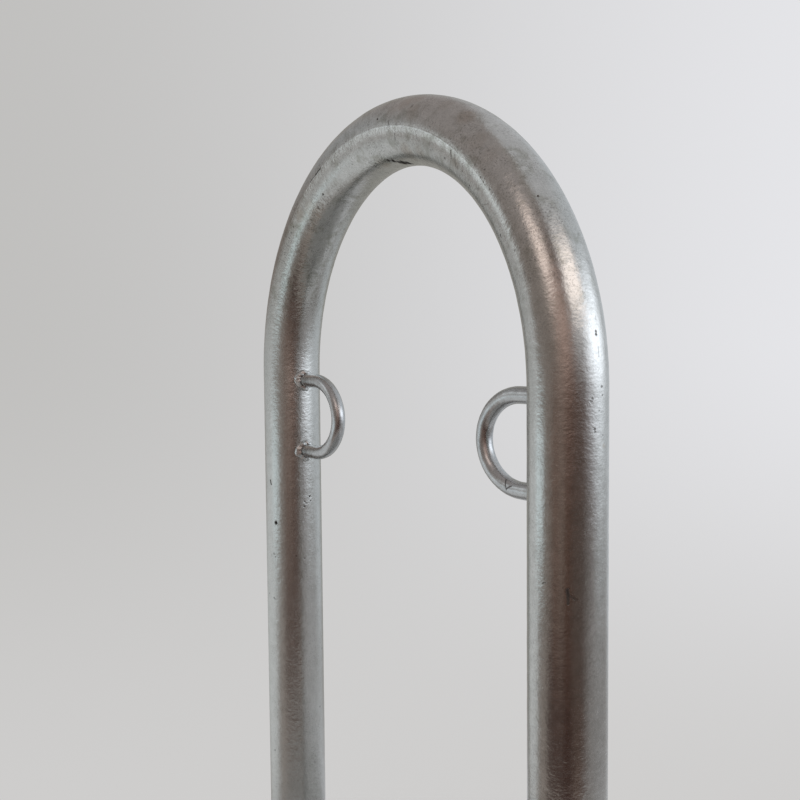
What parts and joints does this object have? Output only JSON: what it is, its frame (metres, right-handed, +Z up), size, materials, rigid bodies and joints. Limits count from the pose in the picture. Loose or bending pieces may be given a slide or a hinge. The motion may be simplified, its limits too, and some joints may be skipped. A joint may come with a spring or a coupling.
{
  "type": "hoop bike rack",
  "caption": "Surface-mounted hoop bike rack: a narrow inverted U of galvanised tube with a D-shaped lock ring on the inner side of each leg and round bolted flanges.",
  "frame": {"origin": "on the ground, at the level of the undersides of both flanges, midway between the two legs", "axes": "+X from the left leg to the right leg in the hoop's plane, +Y square to that plane, +Z up"},
  "size_m": [0.5996, 0.16, 0.9],
  "materials": {
    "galvanised_tube": "hot-dip galvanised, satin, mottled",
    "galvanised_bar": "hot-dip galvanised, satin",
    "galvanised_plate": "hot-dip galvanised, dull spangle",
    "weld_zinc": "rippled weld bead under zinc",
    "plated_fixing": "zinc plated, weathered"
  },
  "bodies": {
    "root": {"hoop_tube": "galvanised_tube", "lock_ring_left": "galvanised_bar", "ring_weld_left_upper": "weld_zinc", "ring_weld_left_lower": "weld_zinc", "base_flange_left": "galvanised_plate", "base_weld_left": "weld_zinc", "anchor_rod_left_1": "plated_fixing", "anchor_washer_left_1": "plated_fixing", "anchor_nut_left_1": "plated_fixing", "anchor_rod_left_2": "plated_fixing", "anchor_washer_left_2": "plated_fixing", "anchor_nut_left_2": "plated_fixing", "anchor_rod_left_3": "plated_fixing", "anchor_washer_left_3": "plated_fixing", "anchor_nut_left_3": "plated_fixing", "anchor_rod_left_4": "plated_fixing", "anchor_washer_left_4": "plated_fixing", "anchor_nut_left_4": "plated_fixing", "lock_ring_right": "galvanised_bar", "ring_weld_right_upper": "weld_zinc", "ring_weld_right_lower": "weld_zinc", "base_flange_right": "galvanised_plate", "base_weld_right": "weld_zinc", "anchor_rod_right_1": "plated_fixing", "anchor_washer_right_1": "plated_fixing", "anchor_nut_right_1": "plated_fixing", "anchor_rod_right_2": "plated_fixing", "anchor_washer_right_2": "plated_fixing", "anchor_nut_right_2": "plated_fixing", "anchor_rod_right_3": "plated_fixing", "anchor_washer_right_3": "plated_fixing", "anchor_nut_right_3": "plated_fixing", "anchor_rod_right_4": "plated_fixing", "anchor_washer_right_4": "plated_fixing", "anchor_nut_right_4": "plated_fixing"}
  },
  "joints": []
}
